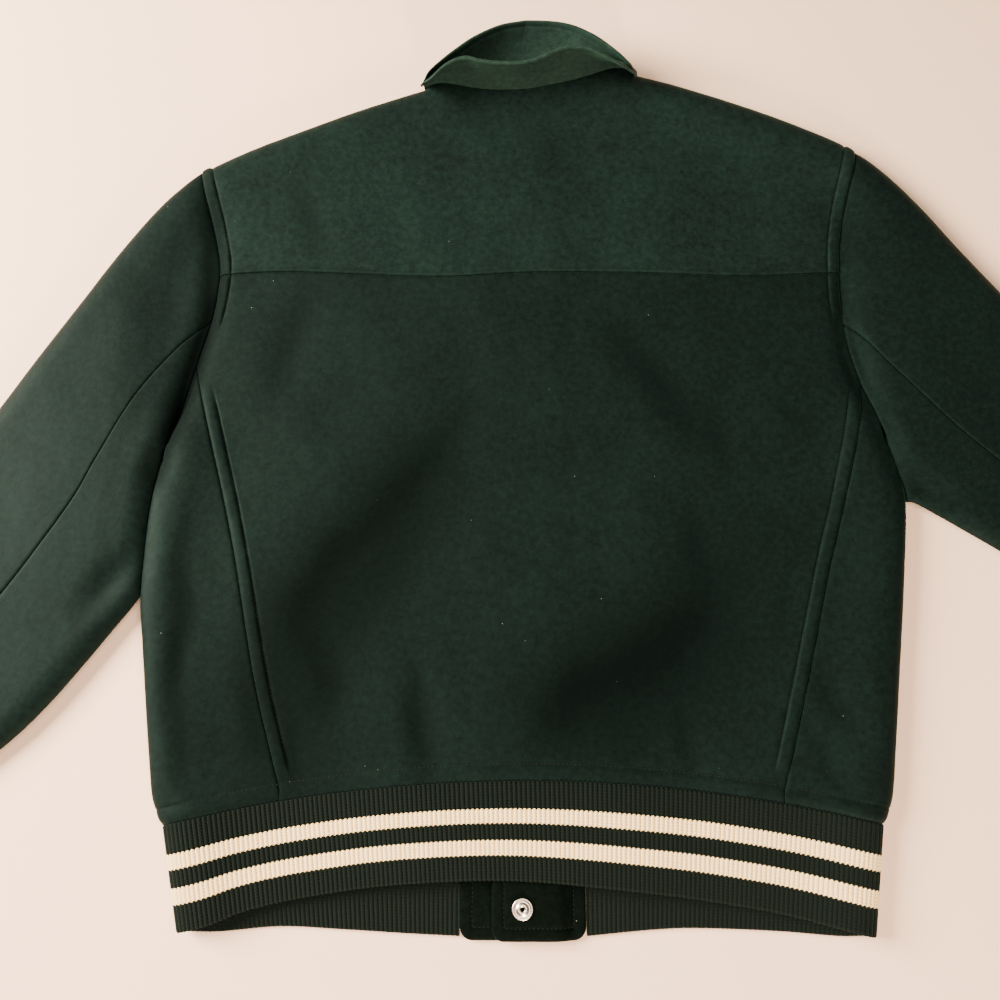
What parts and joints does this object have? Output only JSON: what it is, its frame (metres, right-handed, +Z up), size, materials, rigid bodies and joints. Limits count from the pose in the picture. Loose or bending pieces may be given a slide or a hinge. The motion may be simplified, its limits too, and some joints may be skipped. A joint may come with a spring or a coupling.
{
  "type": "varsity jacket",
  "caption": "Wool varsity jacket laid face down and closed on a flat surface, with a standing collar, rib-knit hem band and cuffs, and a press-stud front.",
  "frame": {"origin": "on the surface that the jacket lies on, under the centre front, 350 mm above the front hem's lower edge", "axes": "+X to the wearer's right, +Y from the hem to the collar, +Z up from the surface, out of the back"},
  "size_m": [1.2931, 0.7376, 0.0575],
  "materials": {
    "melton_back": "dark green brushed wool melton",
    "melton_front": "dark green brushed wool melton",
    "melton_sleeve": "dark green brushed wool melton",
    "melton_collar": "dark green brushed wool melton, two layers",
    "melton_tab": "dark green brushed wool melton, two layers",
    "rib_knit_band": "dark green rib knit with two cream stripes",
    "rib_knit_cuff": "dark green rib knit with two cream stripes",
    "nickel": "nickel-plated pressed metal"
  },
  "bodies": {
    "root": {"back_yoke": "melton_back", "back_panel": "melton_back", "side_back_left": "melton_back", "side_back_right": "melton_back", "front_left": "melton_front", "front_right": "melton_front", "upper_sleeve_left": "melton_sleeve", "upper_sleeve_right": "melton_sleeve", "under_sleeve_left": "melton_sleeve", "under_sleeve_right": "melton_sleeve", "collar": "melton_collar", "hem_band": "rib_knit_band", "hem_tab_left": "melton_tab", "hem_tab_right": "melton_tab", "cuff_left": "rib_knit_cuff", "cuff_right": "rib_knit_cuff", "snap_1": "nickel", "snap_2": "nickel", "snap_3": "nickel", "snap_4": "nickel", "snap_5": "nickel", "snap_6": "nickel", "snap_7": "nickel"}
  },
  "joints": []
}
